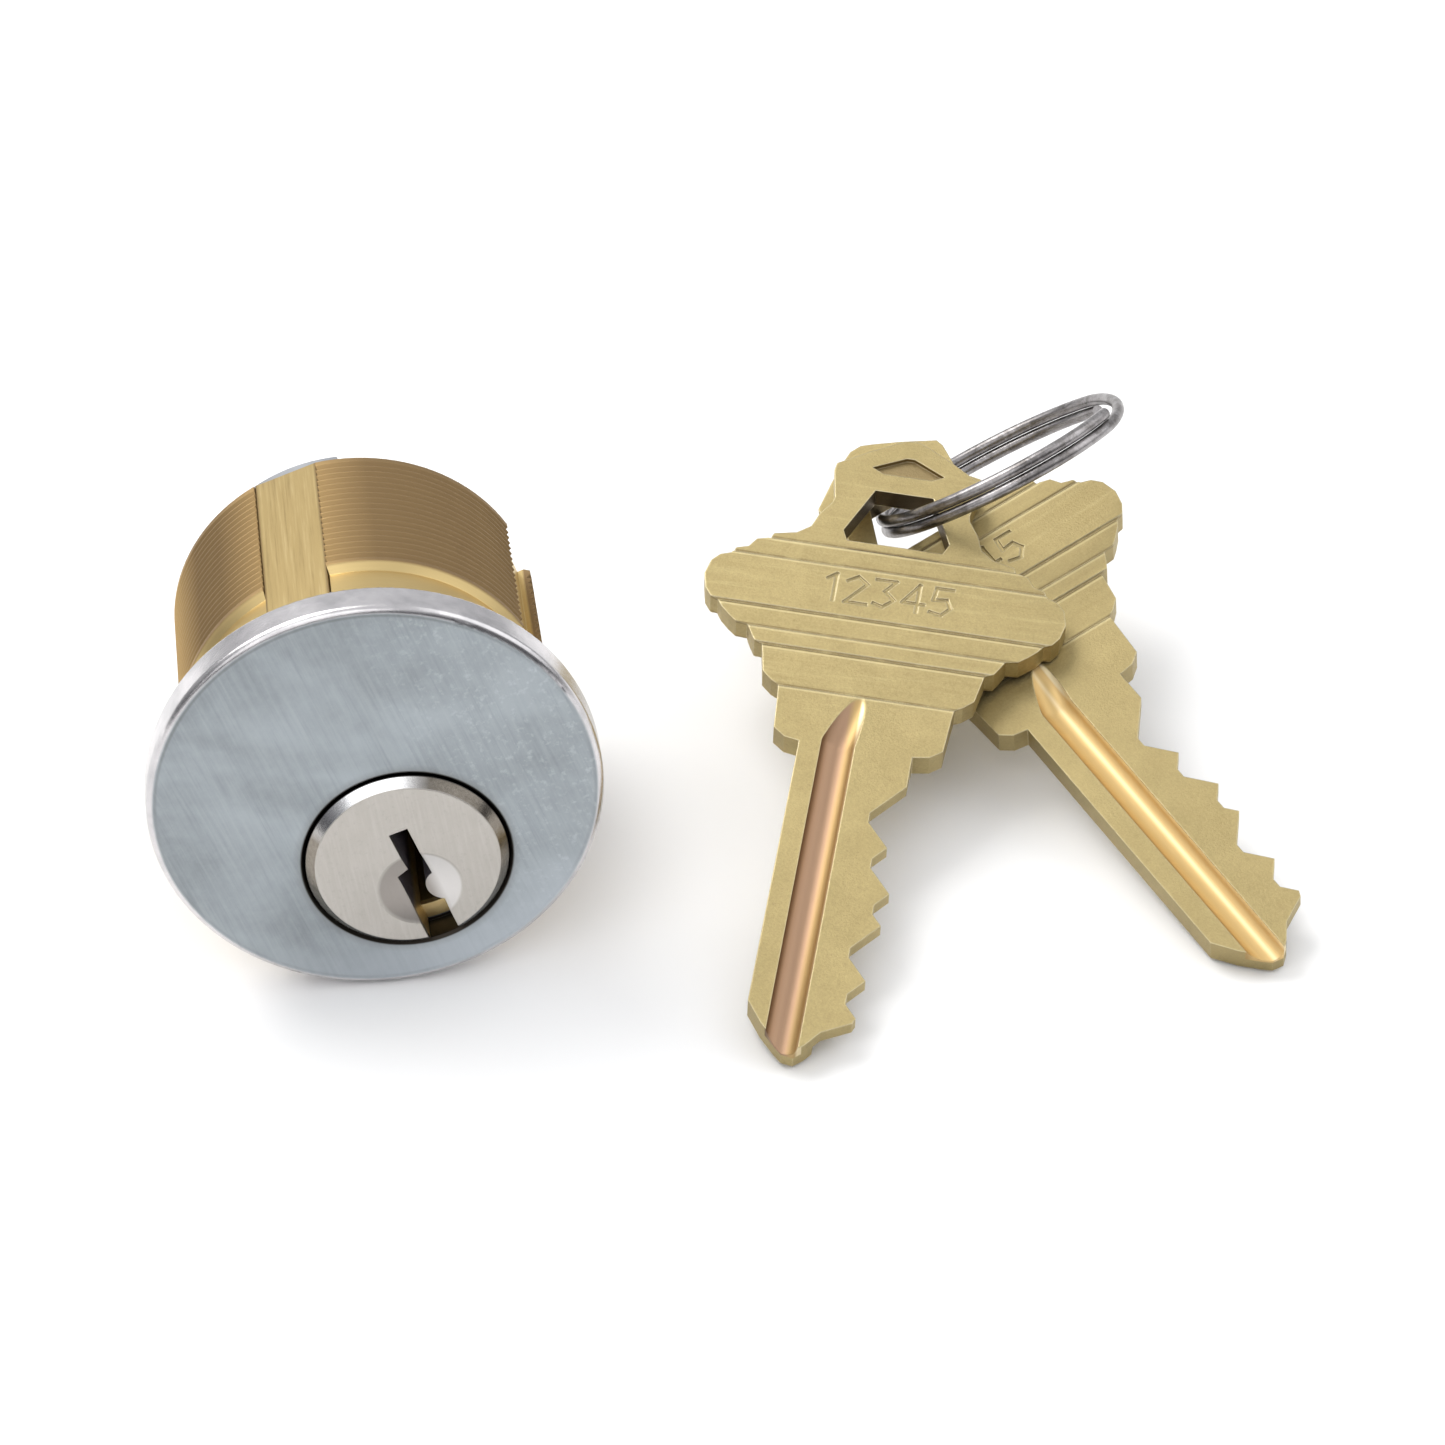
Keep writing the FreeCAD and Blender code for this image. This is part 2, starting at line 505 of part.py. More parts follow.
def build_key(key, placement):
    solids = []
    for i, (start, end, half) in enumerate(BANDS):
        outline = polygon("%s_band_sketch_%d" % (key, i), band_outline(start, end),
                          None, (0, 0, -half))
        solids.append(extrude("%s_band_%d" % (key, i), outline, (0, 0, 1),
                              "%g" % (2 * half)))
    blade = polygon("%s_blade_sketch" % key, blade_outline(), None, (0, 0, -HALF))
    solids.append(extrude("%s_blade" % key, blade, (0, 0, 1), "dims.key_thickness"))
    blank = fuse("%s_blank" % key, solids)

    hole = [(-K * 19.25, K * (MIDDLE - 3.7)), (-K * 19.25, K * (MIDDLE + 3.7)),
            (-K * 20.2, K * (MIDDLE + 4.1)), (-K * 24.4, K * (MIDDLE + 2.25)),
            (-K * 24.4, K * (MIDDLE - 2.25)), (-K * 20.2, K * (MIDDLE - 4.1))]
    crown = [(-K * 26.1, K * (MIDDLE - 1.9)), (-K * 26.1, K * (MIDDLE + 1.9)),
             (-K * 26.6, K * (MIDDLE + 2.8)), (-K * 27.9, K * (MIDDLE + 0.3)),
             (-K * 27.9, K * (MIDDLE - 0.3)), (-K * 26.6, K * (MIDDLE - 2.8))]
    tools = groove_tools(key) + border_lines(key) + [
        box("%s_mill" % key, "40", "20", "dims.key_mill_depth + 1",
            (K * 0.6, scaled("key_mill_from"), -HALF - 1)),
        extrude("%s_hole" % key, polygon("%s_hole_sketch" % key, hole, None, (0, 0, -3)),
                (0, 0, 1), "6"),
        extrude("%s_crown" % key, polygon("%s_crown_sketch" % key, crown, None,
                                          (0, 0, 1.0 - 0.4)), (0, 0, 1), "1"),
    ]
    milled = cut("%s_milled" % key, blank, fuse("%s_tools" % key, tools))
    stamped = cut("%s_stamped" % key, milled, fuse("%s_stamp" % key, stamp_strokes(key)))
    return finish(stamped, key, placement)


def key_placement(corner, along, across_hint):
    """Place a key by its shoulder corner, its blade direction and its cut side."""
    x = Vector(*along).normalize()
    y = Vector(*across_hint)
    y = (y - x * x.dot(y)).normalize()
    return Placement(Vector(*corner) + SET_SHIFT, Rotation(x, y, x.cross(y), "XYZ"))


build_key("key_a", key_placement((6.122, -11.983, 7.973), (-0.1666, -0.962, -0.2161),
                                 (0.9858, -0.1583, -0.0554)))
build_key("key_b", key_placement((24.924, -8.008, 5.581), (0.5478, -0.8201, -0.1657),
                                 (0.833, 0.5162, 0.1991)))

# ---- Split ring: almost two turns of wire, crossing from one coil to the other ----
step, mean = D["ring_coil_step"], D["ring_mean_radius"]
path = []
for degrees in range(30, 691, 12):
    t = min(max((degrees - 325.0) / 70.0, 0.0), 1.0)
    lift = step * (t * t * (3 - 2 * t) - 0.5)
    a = math.radians(degrees)
    path.append(Vector(mean * math.cos(a), mean * math.sin(a), lift))
RING_NORMAL = Vector(-0.4625, 0.4704, 0.7515)
bent_wire("split_ring", path, "dims.ring_wire_radius",
          Placement(Vector(23.438, 18.356, 12.753) + SET_SHIFT,
                    Rotation(Vector(0.8863, 0.2665, 0.3787), Vector(), RING_NORMAL, "ZXY")))

doc.recompute()
os.makedirs("parts", exist_ok=True)
for obj in doc.Objects:
    if "Invalid" in obj.State or "Error" in obj.State:
        raise RuntimeError("%s is %s" % (obj.Name, obj.State))
for obj in finished:
    shape = obj.Shape
    if shape.isNull() or not shape.isValid():
        raise RuntimeError("%s has no valid shape" % obj.Label)
    shape.exportStep("parts/%s.step" % obj.Label)
    print("%-16s solids %d faces %d volume %.2f" % (obj.Label, len(shape.Solids),
                                                    len(shape.Faces), shape.Volume))
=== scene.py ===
"""Looks of the mortise lock cylinder and its keys: materials, floor, light and camera.

Every shape is the CAD part's own; only the pin springs are drawn again, as copies attached
to the cylinder. Each material works in its part's own frame, in millimetres, so that plating,
thread, cover strip and key grooves are found by place.
"""

import json
import math

import bpy
from mathutils import Matrix, Vector


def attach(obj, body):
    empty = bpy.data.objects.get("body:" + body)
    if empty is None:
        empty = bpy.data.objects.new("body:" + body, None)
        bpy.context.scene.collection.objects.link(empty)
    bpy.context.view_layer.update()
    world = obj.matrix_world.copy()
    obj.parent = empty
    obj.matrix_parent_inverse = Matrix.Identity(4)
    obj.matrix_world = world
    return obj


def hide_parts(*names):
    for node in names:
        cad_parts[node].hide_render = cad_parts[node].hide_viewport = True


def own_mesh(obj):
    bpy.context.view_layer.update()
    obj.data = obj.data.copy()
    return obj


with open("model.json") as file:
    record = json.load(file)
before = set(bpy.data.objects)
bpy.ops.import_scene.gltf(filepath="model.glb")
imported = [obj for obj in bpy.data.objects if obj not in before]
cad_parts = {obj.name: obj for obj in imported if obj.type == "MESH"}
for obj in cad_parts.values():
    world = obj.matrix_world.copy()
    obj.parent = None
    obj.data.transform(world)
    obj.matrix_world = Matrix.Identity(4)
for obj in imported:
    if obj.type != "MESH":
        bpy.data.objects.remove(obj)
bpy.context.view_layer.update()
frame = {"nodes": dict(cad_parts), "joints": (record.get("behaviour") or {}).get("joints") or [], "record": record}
record = frame["record"]
joints = {joint["name"]: joint for joint in frame["joints"]}

MM = 0.001

# ---- Sizes that the materials follow, in millimetres of each part's own frame ----
# The lock: +Y runs rearward from the back of the head, +Z to the pin chambers.
HEAD_THICKNESS = 3.0
COUNTERBORE = 8.05     # radius
PLUG_DROP = 6.2        # plug axis below the shell axis
PLUG_PROUD = 0.8
PLUG_HEAD = 7.95       # radius
PLUG_BEVEL = 0.75
DISH_DROP = 2.5        # key dish below the plug axis
RELIEF_LENGTH = 8.0    # smooth neck between head and thread
THREAD_BAND = 13.9     # radius above which a face belongs to the thread
THREAD_MOUNT = 16.0    # the body_thread mount behind the head
PIN_NUMBERS = range(1, 6)

# The keys: +X runs from the shoulder to the tip, +Y to the cuts, +Z the grooved side.
# Their lengths are drawn at the usual size and multiplied by KEY_SCALE.
KEY_SCALE = 1.08
KEY_HALF = 1.15        # half thickness as built
KEY_MIDDLE = 4.35      # middle of the bow
GROOVE = (1.65, 4.2)
GROOVE_START = 4.7     # how far the groove runs out into the bow
RING_HOLE = 21.6
CROWN = (25.9, 28.2)   # recess above the ring hole
BORDERS = (4.85, 8.4, 10.0, 11.9, 16.7, 18.5)

# A key's shoulder corner, its way to the tip and its way to the cuts, in the row frame.
KEYS = {
    "key_a": ((0.005427, -0.006016, 0.007975), (-0.1666, -0.962, -0.2161),
              (0.9858, -0.1583, -0.0554)),
    "key_b": ((0.024229, -0.002041, 0.005583), (0.5478, -0.8201, -0.1657),
              (0.833, 0.5162, 0.1991)),
}

# ---- The view: metres, radians, and a lens in millimetres on a 36 mm sensor ----
CAMERA_TARGET = (-0.000695, 0.005967, 0.000002)
CAMERA_DISTANCE = 0.446
CAMERA_ELEVATION = math.radians(42.0)
CAMERA_LENS = 133.2872
FLOOR_HALF = 1.5


def placed(origin, x, y, z):
    """Matrix that takes a part's own frame to the row frame."""
    turn = Matrix((x, y, z)).transposed().to_4x4()
    return Matrix.Translation(origin) @ turn


def lock_frame():
    """Origin on the shell axis at the back of the head, +Y rearward, +Z to the chambers."""
    rear = Vector(joints["plug_turn"]["axis"]).normalized()
    up = Vector(joints["driver_pin_1_slide"]["axis"]).normalized()
    thread = next(m for m in record["mounts"] if m["name"] == "body_thread")
    origin = Vector(thread["pos_m"]) - rear * THREAD_MOUNT * MM
    return placed(origin, rear.cross(up), rear, up)


def key_frame(name):
    """Origin at the shoulder corner, +X to the tip, +Y to the cuts, +Z the grooved side."""
    corner, along, across = (Vector(v) for v in KEYS[name])
    x = along.normalized()
    y = (across - x * x.dot(across)).normalized()
    return placed(corner, x, y, x.cross(y))


class Graph:
    """Node tree of one material, written as sums of short calls."""

    def __init__(self, name, origin=Matrix.Identity(4)):
        self.material = bpy.data.materials.new(name)
        self.material.use_nodes = True
        self.tree = self.material.node_tree
        self.tree.nodes.clear()
        coordinates = self.node("ShaderNodeTexCoord")
        place = self.node("ShaderNodeMapping", vector_type="TEXTURE")
        place.inputs["Location"].default_value = origin.to_translation()
        place.inputs["Rotation"].default_value = origin.to_euler()
        place.inputs["Scale"].default_value = (MM, MM, MM)
        self.link(coordinates.outputs["Object"], place.inputs["Vector"])
        self.mm = place.outputs["Vector"]
        split = self.node("ShaderNodeSeparateXYZ")
        self.link(self.mm, split.inputs[0])
        self.x, self.y, self.z = split.outputs

    def node(self, kind, **settings):
        node = self.tree.nodes.new(kind)
        for key, value in settings.items():
            setattr(node, key, value)
        return node

    def link(self, source, target):
        self.tree.links.new(source, target)

    def feed(self, socket, value):
        if isinstance(value, bpy.types.NodeSocket):
            self.link(value, socket)
        else:
            socket.default_value = value

    def math(self, operation, a, b=0.0, c=0.0):
        node = self.node("ShaderNodeMath", operation=operation)
        for socket, value in zip(node.inputs, (a, b, c)):
            self.feed(socket, value)
        return node.outputs[0]

    def step(self, value, low, high):
        """0 below low, 1 above high (or the reverse where low is the larger)."""
        node = self.node("ShaderNodeMapRange", clamp=True)
        self.feed(node.inputs["Value"], value)
        flip = low > high
        node.inputs["From Min"].default_value = min(low, high)
        node.inputs["From Max"].default_value = max(low, high)
        node.inputs["To Min"].default_value = 1.0 if flip else 0.0
        node.inputs["To Max"].default_value = 0.0 if flip else 1.0
        return node.outputs["Result"]

    def between(self, value, low, high, soft=0.03):
        return self.math("MULTIPLY", self.step(value, low - soft, low + soft),
                         self.step(value, high + soft, high - soft))

    def both(self, *masks):
        result = masks[0]
        for mask in masks[1:]:
            result = self.math("MULTIPLY", result, mask)
        return result

    def either(self, *masks):
        result = masks[0]
        for mask in masks[1:]:
            result = self.math("MAXIMUM", result, mask)
        return result

    def part(self, mask, amount):
        return self.math("MULTIPLY", mask, amount)

    def radius(self, a, b):
        return self.math("SQRT", self.math("ADD", self.math("MULTIPLY", a, a),
                                           self.math("MULTIPLY", b, b)))

    def noise(self, scale, detail=3.0, rough=0.55, stretch=(1, 1, 1), turn=(0, 0, 0),
              offset=(0, 0, 0), warp=0.0):
        """Noise with `scale` grains a millimetre, along axes stretched and turned."""
        vector = self.mm
        if tuple(stretch) != (1, 1, 1) or tuple(turn) != (0, 0, 0) or any(offset):
            lean = self.node("ShaderNodeMapping", vector_type="TEXTURE")
            lean.inputs["Location"].default_value = offset
            lean.inputs["Rotation"].default_value = [math.radians(t) for t in turn]
            lean.inputs["Scale"].default_value = stretch
            self.link(self.mm, lean.inputs["Vector"])
            vector = lean.outputs["Vector"]
        node = self.node("ShaderNodeTexNoise")
        self.link(vector, node.inputs["Vector"])
        node.inputs["Scale"].default_value = scale
        node.inputs["Detail"].default_value = detail
        node.inputs["Roughness"].default_value = rough
        node.inputs["Distortion"].default_value = warp
        return node.outputs["Fac"]

    def mix(self, factor, a, b):
        node = self.node("ShaderNodeMix", data_type="RGBA")
        self.feed(node.inputs[0], factor)
        self.feed(node.inputs[6], a)
        self.feed(node.inputs[7], b)
        return node.outputs[2]

    def blend(self, factor, a, b):
        node = self.node("ShaderNodeMix", data_type="FLOAT")
        self.feed(node.inputs[0], factor)
        self.feed(node.inputs[2], a)
        self.feed(node.inputs[3], b)
        return node.outputs[0]

    def edge(self, radius_mm, low=0.02, high=0.3):
        """1 along sharp edges, 0 on open faces, within the radius."""
        rounded = self.node("ShaderNodeBevel", samples=6)
        rounded.inputs["Radius"].default_value = radius_mm * MM
        geometry = self.node("ShaderNodeNewGeometry")
        dot = self.node("ShaderNodeVectorMath", operation="DOT_PRODUCT")
        self.link(rounded.outputs[0], dot.inputs[0])
        self.link(geometry.outputs["True Normal"], dot.inputs[1])
        return self.step(self.math("SUBTRACT", 1.0, dot.outputs["Value"]), low, high)

    def bump(self, height, depth_mm, round_mm=0.0):
        """Normal from a height of 0 to 1 over depth_mm, on edges rounded by round_mm."""
        node = self.node("ShaderNodeBump")
        node.inputs["Strength"].default_value = 1.0
        node.inputs["Distance"].default_value = depth_mm * MM
        self.link(height, node.inputs["Height"])
        if round_mm:
            rounded = self.node("ShaderNodeBevel", samples=6)
            rounded.inputs["Radius"].default_value = round_mm * MM
            self.link(rounded.outputs[0], node.inputs["Normal"])
        return node.outputs[0]

    def metal(self, colour, rough, normal):
        shader = self.node("ShaderNodeBsdfPrincipled")
        shader.inputs["Metallic"].default_value = 1.0
        self.feed(shader.inputs["Base Color"], colour)
        self.feed(shader.inputs["Roughness"], rough)
        self.link(normal, shader.inputs["Normal"])
        output = self.node("ShaderNodeOutputMaterial")
        self.link(shader.outputs[0], output.inputs["Surface"])
        return self.material


def rgb(r, g, b):
    return (r, g, b, 1.0)


def shell_material():
    """Brass body with a fine thread, and a satin grey plated head."""
    g = Graph("shell_brass", lock_frame())
    from_axis = g.radius(g.x, g.z)
    from_plug = g.radius(g.x, g.math("ADD", g.z, PLUG_DROP))
    head = g.step(g.y, 0.02, -0.02)
    # plating: cloudy, brushed along the chambers, with bright flecks towards one side
    cloud = g.step(g.noise(0.13, 3.0, 0.5, stretch=(1.7, 1, 1), turn=(0, 30, 0),
                           offset=(3, 1, 7), warp=0.5), 0.36, 0.62)
    mottle = g.noise(0.9, 5.0, 0.7, offset=(4, 0, 2))
    brushing = g.noise(3.2, 4.0, 0.65, stretch=(1, 1, 26))
    flecks = g.both(g.step(g.noise(1.3, 4.0, 0.75, offset=(9, 4, 2)), 0.54, 0.70),
                    g.step(g.x, 2.0, 9.0))
    grey = g.mix(cloud, rgb(0.285, 0.312, 0.330), rgb(0.350, 0.384, 0.408))
    grey = g.mix(g.part(g.step(mottle, 0.40, 0.66), 0.35), grey, rgb(0.385, 0.420, 0.440))
    grey = g.mix(g.part(g.step(brushing, 0.46, 0.68), 0.32), grey,
                 rgb(0.420, 0.450, 0.468))
    grey = g.mix(g.part(g.step(brushing, 0.44, 0.30), 0.30), grey,
                 rgb(0.235, 0.258, 0.275))
    grey = g.mix(g.part(flecks, 0.42), grey, rgb(0.56, 0.60, 0.62))
    # painted reflection: the head is painted lighter towards its bottom, standing in for the pale floor reflected
    # there
    grey = g.mix(g.part(g.step(g.z, -9.5, -16.5), 0.55), grey, rgb(0.60, 0.65, 0.70))
    wear_and_painted_light = g.step(g.noise(0.3, 3.0, 0.6, offset=(2, 5, 8)), 0.34, 0.60)
    # painted shade: a dark line where the rim's fillet meets the face, full along the top, broken by noise
    # elsewhere
    rim_shade_line = g.both(g.between(from_axis, 16.92, 17.08, 0.10), g.step(g.y, -2.8, -2.9),
                        g.blend(g.step(g.z, 3.0, 12.0), g.part(wear_and_painted_light, 0.45), 1.0))
    grey = g.mix(g.part(rim_shade_line, 0.55), grey, rgb(0.14, 0.145, 0.14))
    rim = g.step(from_axis, 17.1, 17.3)
    grey = g.mix(rim, grey, g.mix(wear_and_painted_light, rgb(0.50, 0.49, 0.50), rgb(0.66, 0.64, 0.65)))
    # brass: golden on the neck, browner and duller in the thread
    outer = g.step(from_axis, THREAD_BAND, THREAD_BAND + 0.2)
    thread = g.both(g.step(g.y, RELIEF_LENGTH + 0.45, RELIEF_LENGTH + 0.6), outer)
    # painted highlight on the lead-in chamfer where the thread starts
    lead_in_highlight = g.both(g.between(g.y, RELIEF_LENGTH - 0.1, RELIEF_LENGTH + 0.55, 0.08), outer)
    hue = g.noise(0.12, 3.0, 0.6, stretch=(1, 3, 1), warp=0.8)
    turned = g.noise(1.0, 3.0, 0.6, stretch=(9, 0.35, 9))
    grain = g.noise(4.5, 4.0, 0.7)
    golden = g.mix(hue, rgb(0.58, 0.43, 0.185), rgb(0.68, 0.52, 0.245))
    brown = g.mix(hue, rgb(0.215, 0.142, 0.073), rgb(0.285, 0.195, 0.100))
    brown = g.mix(g.part(grain, 0.35), brown, rgb(0.34, 0.24, 0.125))
    # painted highlight: the thread is painted more golden beside the cover strip and down its outer flank
    beside = g.step(g.math("ABSOLUTE", g.x), 6.5, 2.8)
    flank = g.step(g.math("SUBTRACT", g.part(g.z, 0.34), g.part(g.x, 0.94)), 12.4, 14.3)
    brown = g.mix(g.either(g.part(beside, 0.45), g.part(flank, 0.8)), brown,
                  rgb(0.60, 0.42, 0.19))
    brass = g.mix(thread, golden, brown)
    brass = g.mix(g.part(lead_in_highlight, 0.35), brass, rgb(0.74, 0.58, 0.29))
    brass = g.mix(g.part(turned, 0.22), brass, rgb(0.38, 0.26, 0.11))
    colour = g.mix(head, brass, grey)
    # painted shade: the counterbore's wall and chamfer are painted nearly black round the plug, with a fainter
    # painted shade on the face around it; its floor is bare
    seat = g.both(head, g.step(from_plug, COUNTERBORE - 0.3, COUNTERBORE - 0.4))
    colour = g.mix(seat, colour, rgb(0.90, 0.70, 0.36))
    gap_shade = g.both(head, g.between(from_plug, COUNTERBORE - 0.3, COUNTERBORE + 0.27, 0.07))
    shade_round_plug = g.both(head, g.step(from_plug, COUNTERBORE + 0.9, COUNTERBORE + 0.25),
                  g.step(from_plug, COUNTERBORE, COUNTERBORE + 0.1))
    colour = g.mix(g.part(shade_round_plug, 0.35), colour, rgb(0.16, 0.16, 0.15))
    colour = g.mix(gap_shade, colour, rgb(0.035, 0.030, 0.025))
    plated = g.blend(rim, g.blend(cloud, 0.50, 0.40), 0.26)
    bare = g.blend(thread, g.blend(turned, 0.32, 0.44), g.blend(grain, 0.54, 0.68))
    rough = g.blend(head, bare, plated)
    height = g.blend(head, turned, g.math("ADD", g.part(brushing, 0.7),
                                          g.part(mottle, 0.8)))
    return g.metal(colour, rough, g.bump(height, 0.012, 0.12))


def cover_material():
    """Drawn brass strip with fine lengthwise lines and painted shade along its long edges."""
    g = Graph("cover_brass", lock_frame())
    drawn = g.noise(4.5, 4.0, 0.7, stretch=(1, 40, 1))
    hue = g.noise(0.2, 3.0, 0.6, stretch=(1, 4, 1), warp=0.5)
    colour = g.mix(hue, rgb(0.40, 0.295, 0.125), rgb(0.49, 0.365, 0.165))
    colour = g.mix(g.part(g.step(drawn, 0.52, 0.70), 0.45), colour, rgb(0.62, 0.50, 0.28))
    colour = g.mix(g.part(g.step(drawn, 0.46, 0.32), 0.5), colour, rgb(0.27, 0.19, 0.085))
    # painted shade along both long edges, in the gaps beside the slot walls
    edge_shade = g.step(g.math("ABSOLUTE", g.x), 2.38, 2.52)
    colour = g.mix(g.part(edge_shade, 0.65), colour, rgb(0.20, 0.13, 0.06))
    rough = g.blend(drawn, 0.30, 0.42)
    return g.metal(colour, rough, g.bump(drawn, 0.007, 0.10))


def plug_material():
    """Nickel-plated face and bevel, with painted highlight and shade on the bevel and dish, on a brass barrel."""
    g = Graph("plug_nickel", lock_frame())
    front = -HEAD_THICKNESS - PLUG_PROUD
    up = g.math("ADD", g.z, PLUG_DROP)
    from_plug = g.radius(g.x, up)
    slot = g.both(g.step(g.y, front + 0.61, front + 0.66),
                  g.step(from_plug, PLUG_HEAD - 0.15, PLUG_HEAD - 0.19))
    dished = g.both(g.step(g.radius(g.x, g.math("ADD", up, DISH_DROP)), 3.3, 3.1),
                    g.step(g.y, front + 0.01, front + 0.05))
    brushing = g.noise(4.0, 4.0, 0.65, stretch=(1, 1, 18), turn=(0, 12, 0))
    cloud = g.noise(0.3, 3.0, 0.6, warp=0.4)
    fleck = g.noise(3.0, 4.0, 0.7)
    nickel = g.mix(cloud, rgb(0.44, 0.415, 0.38), rgb(0.52, 0.492, 0.455))
    nickel = g.mix(g.part(g.step(brushing, 0.45, 0.70), 0.35), nickel,
                   rgb(0.60, 0.575, 0.545))
    nickel = g.mix(g.part(g.step(fleck, 0.45, 0.30), 0.3), nickel, rgb(0.35, 0.33, 0.30))
    # painted light: the dish is painted bright on one side and shaded on the other, and the bevel has a painted
    # highlight on the chamber side and painted shade round the rest
    lit = g.step(g.x, 0.6, 1.6)
    nickel = g.mix(g.part(dished, 0.7), nickel,
                   g.mix(lit, rgb(0.30, 0.27, 0.25), rgb(0.74, 0.72, 0.71)))
    bevel = g.step(from_plug, PLUG_HEAD - PLUG_BEVEL + 0.02, PLUG_HEAD - PLUG_BEVEL + 0.08)
    facing = g.math("DIVIDE", g.math("SUBTRACT", up, g.part(g.x, 0.12)), from_plug)
    bevel_shade = g.mix(fleck, rgb(0.14, 0.12, 0.095), rgb(0.34, 0.31, 0.27))
    bevel_highlight = g.mix(g.step(facing, 0.74, 0.93), bevel_shade, rgb(0.84, 0.84, 0.85))
    nickel = g.mix(bevel, nickel, bevel_highlight)
    # painted shade on the plug head's outer rim, down in the gap round it
    skirt_shade = g.step(from_plug, PLUG_HEAD - 0.07, PLUG_HEAD - 0.03)
    nickel = g.mix(skirt_shade, nickel, rgb(0.06, 0.055, 0.05))
    # inside the keyway: black with painted shade above, raw brass at the open lower end
    brass = g.mix(cloud, rgb(0.66, 0.50, 0.24), rgb(0.86, 0.70, 0.38))
    inside = g.mix(g.step(up, -4.3, -5.2), rgb(0.42, 0.39, 0.42), brass)
    colour = g.mix(slot, nickel, inside)
    rough = g.blend(slot, g.blend(bevel, g.blend(brushing, 0.36, 0.48), 0.20), 0.45)
    height = g.math("ADD", brushing, g.part(fleck, 0.6))
    return g.metal(colour, rough, g.bump(height, 0.005, 0.10))


def key_material(name):
    """Tumbled brass with painted shade and highlight along the relief lines, rubbed edges with a painted
    highlight, painted shade in the ring hole and recess, and a milled groove.
    """
    g = Graph("key_brass_" + name[-1], key_frame(name))
    low, high = (KEY_SCALE * edge for edge in GROOVE)
    faces = g.step(g.math("ABSOLUTE", g.z), 0.80, 0.88)
    groove = g.both(g.between(g.y, low - 0.06, high + 0.25, 0.02),
                    g.step(g.z, KEY_HALF - 0.02, KEY_HALF - 0.08),
                    g.step(g.z, 0.0, 0.1),
                    g.step(g.x, -KEY_SCALE * GROOVE_START,
                           -KEY_SCALE * (GROOVE_START - 0.1)))
    grain = g.step(g.noise(5.0, 4.0, 0.75), 0.28, 0.72)
    cloud = g.noise(0.3, 4.0, 0.6, warp=0.5)
    spots = g.step(g.noise(1.7, 4.0, 0.7, offset=(5, 2, 1)), 0.42, 0.30)
    drag = g.noise(2.2, 4.0, 0.65, stretch=(1, 16, 1))
    bow = g.step(g.x, -2.0, -5.5)
    tone = g.math("ADD", g.part(cloud, 0.5), g.part(grain, 0.5))
    matte = g.mix(tone, rgb(0.30, 0.236, 0.108), rgb(0.56, 0.455, 0.228))
    matte = g.mix(g.part(spots, 0.30), matte, rgb(0.27, 0.205, 0.10))
    scored = g.both(bow, g.step(drag, 0.45, 0.30))
    matte = g.mix(g.part(scored, 0.20), matte, rgb(0.29, 0.215, 0.095))
    shine = g.both(bow, g.step(drag, 0.55, 0.72))
    matte = g.mix(g.part(shine, 0.18), matte, rgb(0.72, 0.61, 0.34))
    # relief lines: painted shade on the lower side of each border, a painted highlight above it
    lines = [-KEY_SCALE * border for border in BORDERS]
    dark = g.both(faces, g.either(*[g.between(g.x, line - 0.16, line + 0.10, 0.05)
                                    for line in lines]))
    light = g.both(faces, g.either(*[g.between(g.x, line + 0.20, line + 0.36, 0.06)
                                     for line in lines]))
    broken = g.step(g.noise(0.5, 3.0, 0.6, offset=(1, 8, 3)), 0.30, 0.52)
    matte = g.mix(g.part(g.both(dark, broken), 0.55), matte, rgb(0.20, 0.14, 0.06))
    matte = g.mix(g.part(light, 0.40), matte, rgb(0.82, 0.72, 0.43))
    # edges: lighter where the brass is rubbed, with a painted highlight along every edge
    wear_and_painted_light = g.edge(0.24)
    matte = g.mix(g.part(wear_and_painted_light, 0.7), matte, rgb(0.90, 0.82, 0.57))
    # painted shade on the walls of the hole and in the recess above it
    off_middle = g.math("SUBTRACT", g.y, KEY_SCALE * KEY_MIDDLE)
    from_hole = g.radius(g.math("ADD", g.x, KEY_SCALE * RING_HOLE), off_middle)
    hole_wall_shade = g.both(g.step(from_hole, 5.2, 5.0),
                   g.step(g.math("ABSOLUTE", g.z), 0.96, 0.90))
    recess_shade = g.both(g.between(g.x, -KEY_SCALE * CROWN[1], -KEY_SCALE * CROWN[0]),
                    g.between(g.z, 0.45, 0.92),
                    g.step(g.math("ABSOLUTE", off_middle), 3.3, 3.1))
    matte = g.mix(g.part(hole_wall_shade, 0.85), matte, rgb(0.105, 0.075, 0.045))
    matte = g.mix(g.part(recess_shade, 0.55), matte, rgb(0.22, 0.155, 0.085))
    streak = g.noise(1.8, 3.0, 0.6, stretch=(26, 1, 1))
    across = g.math("DIVIDE", g.math("SUBTRACT", g.y, low), high - low)
    # key A's groove is seen in shade, key B's catches the light along its upper third
    if name == "key_a":
        milled = g.mix(streak, rgb(0.34, 0.215, 0.14), rgb(0.43, 0.285, 0.185))
        milled = g.mix(g.step(across, 0.62, 0.80), milled, rgb(0.47, 0.33, 0.15))
        milled = g.mix(g.part(g.step(across, 0.16, 0.02), 0.8), milled,
                       rgb(0.15, 0.09, 0.045))
        # painted highlight along the upper edge of key A's groove
        milled = g.mix(g.part(g.step(across, 0.93, 0.99), 0.8), milled,
                       rgb(0.82, 0.72, 0.48))
    else:
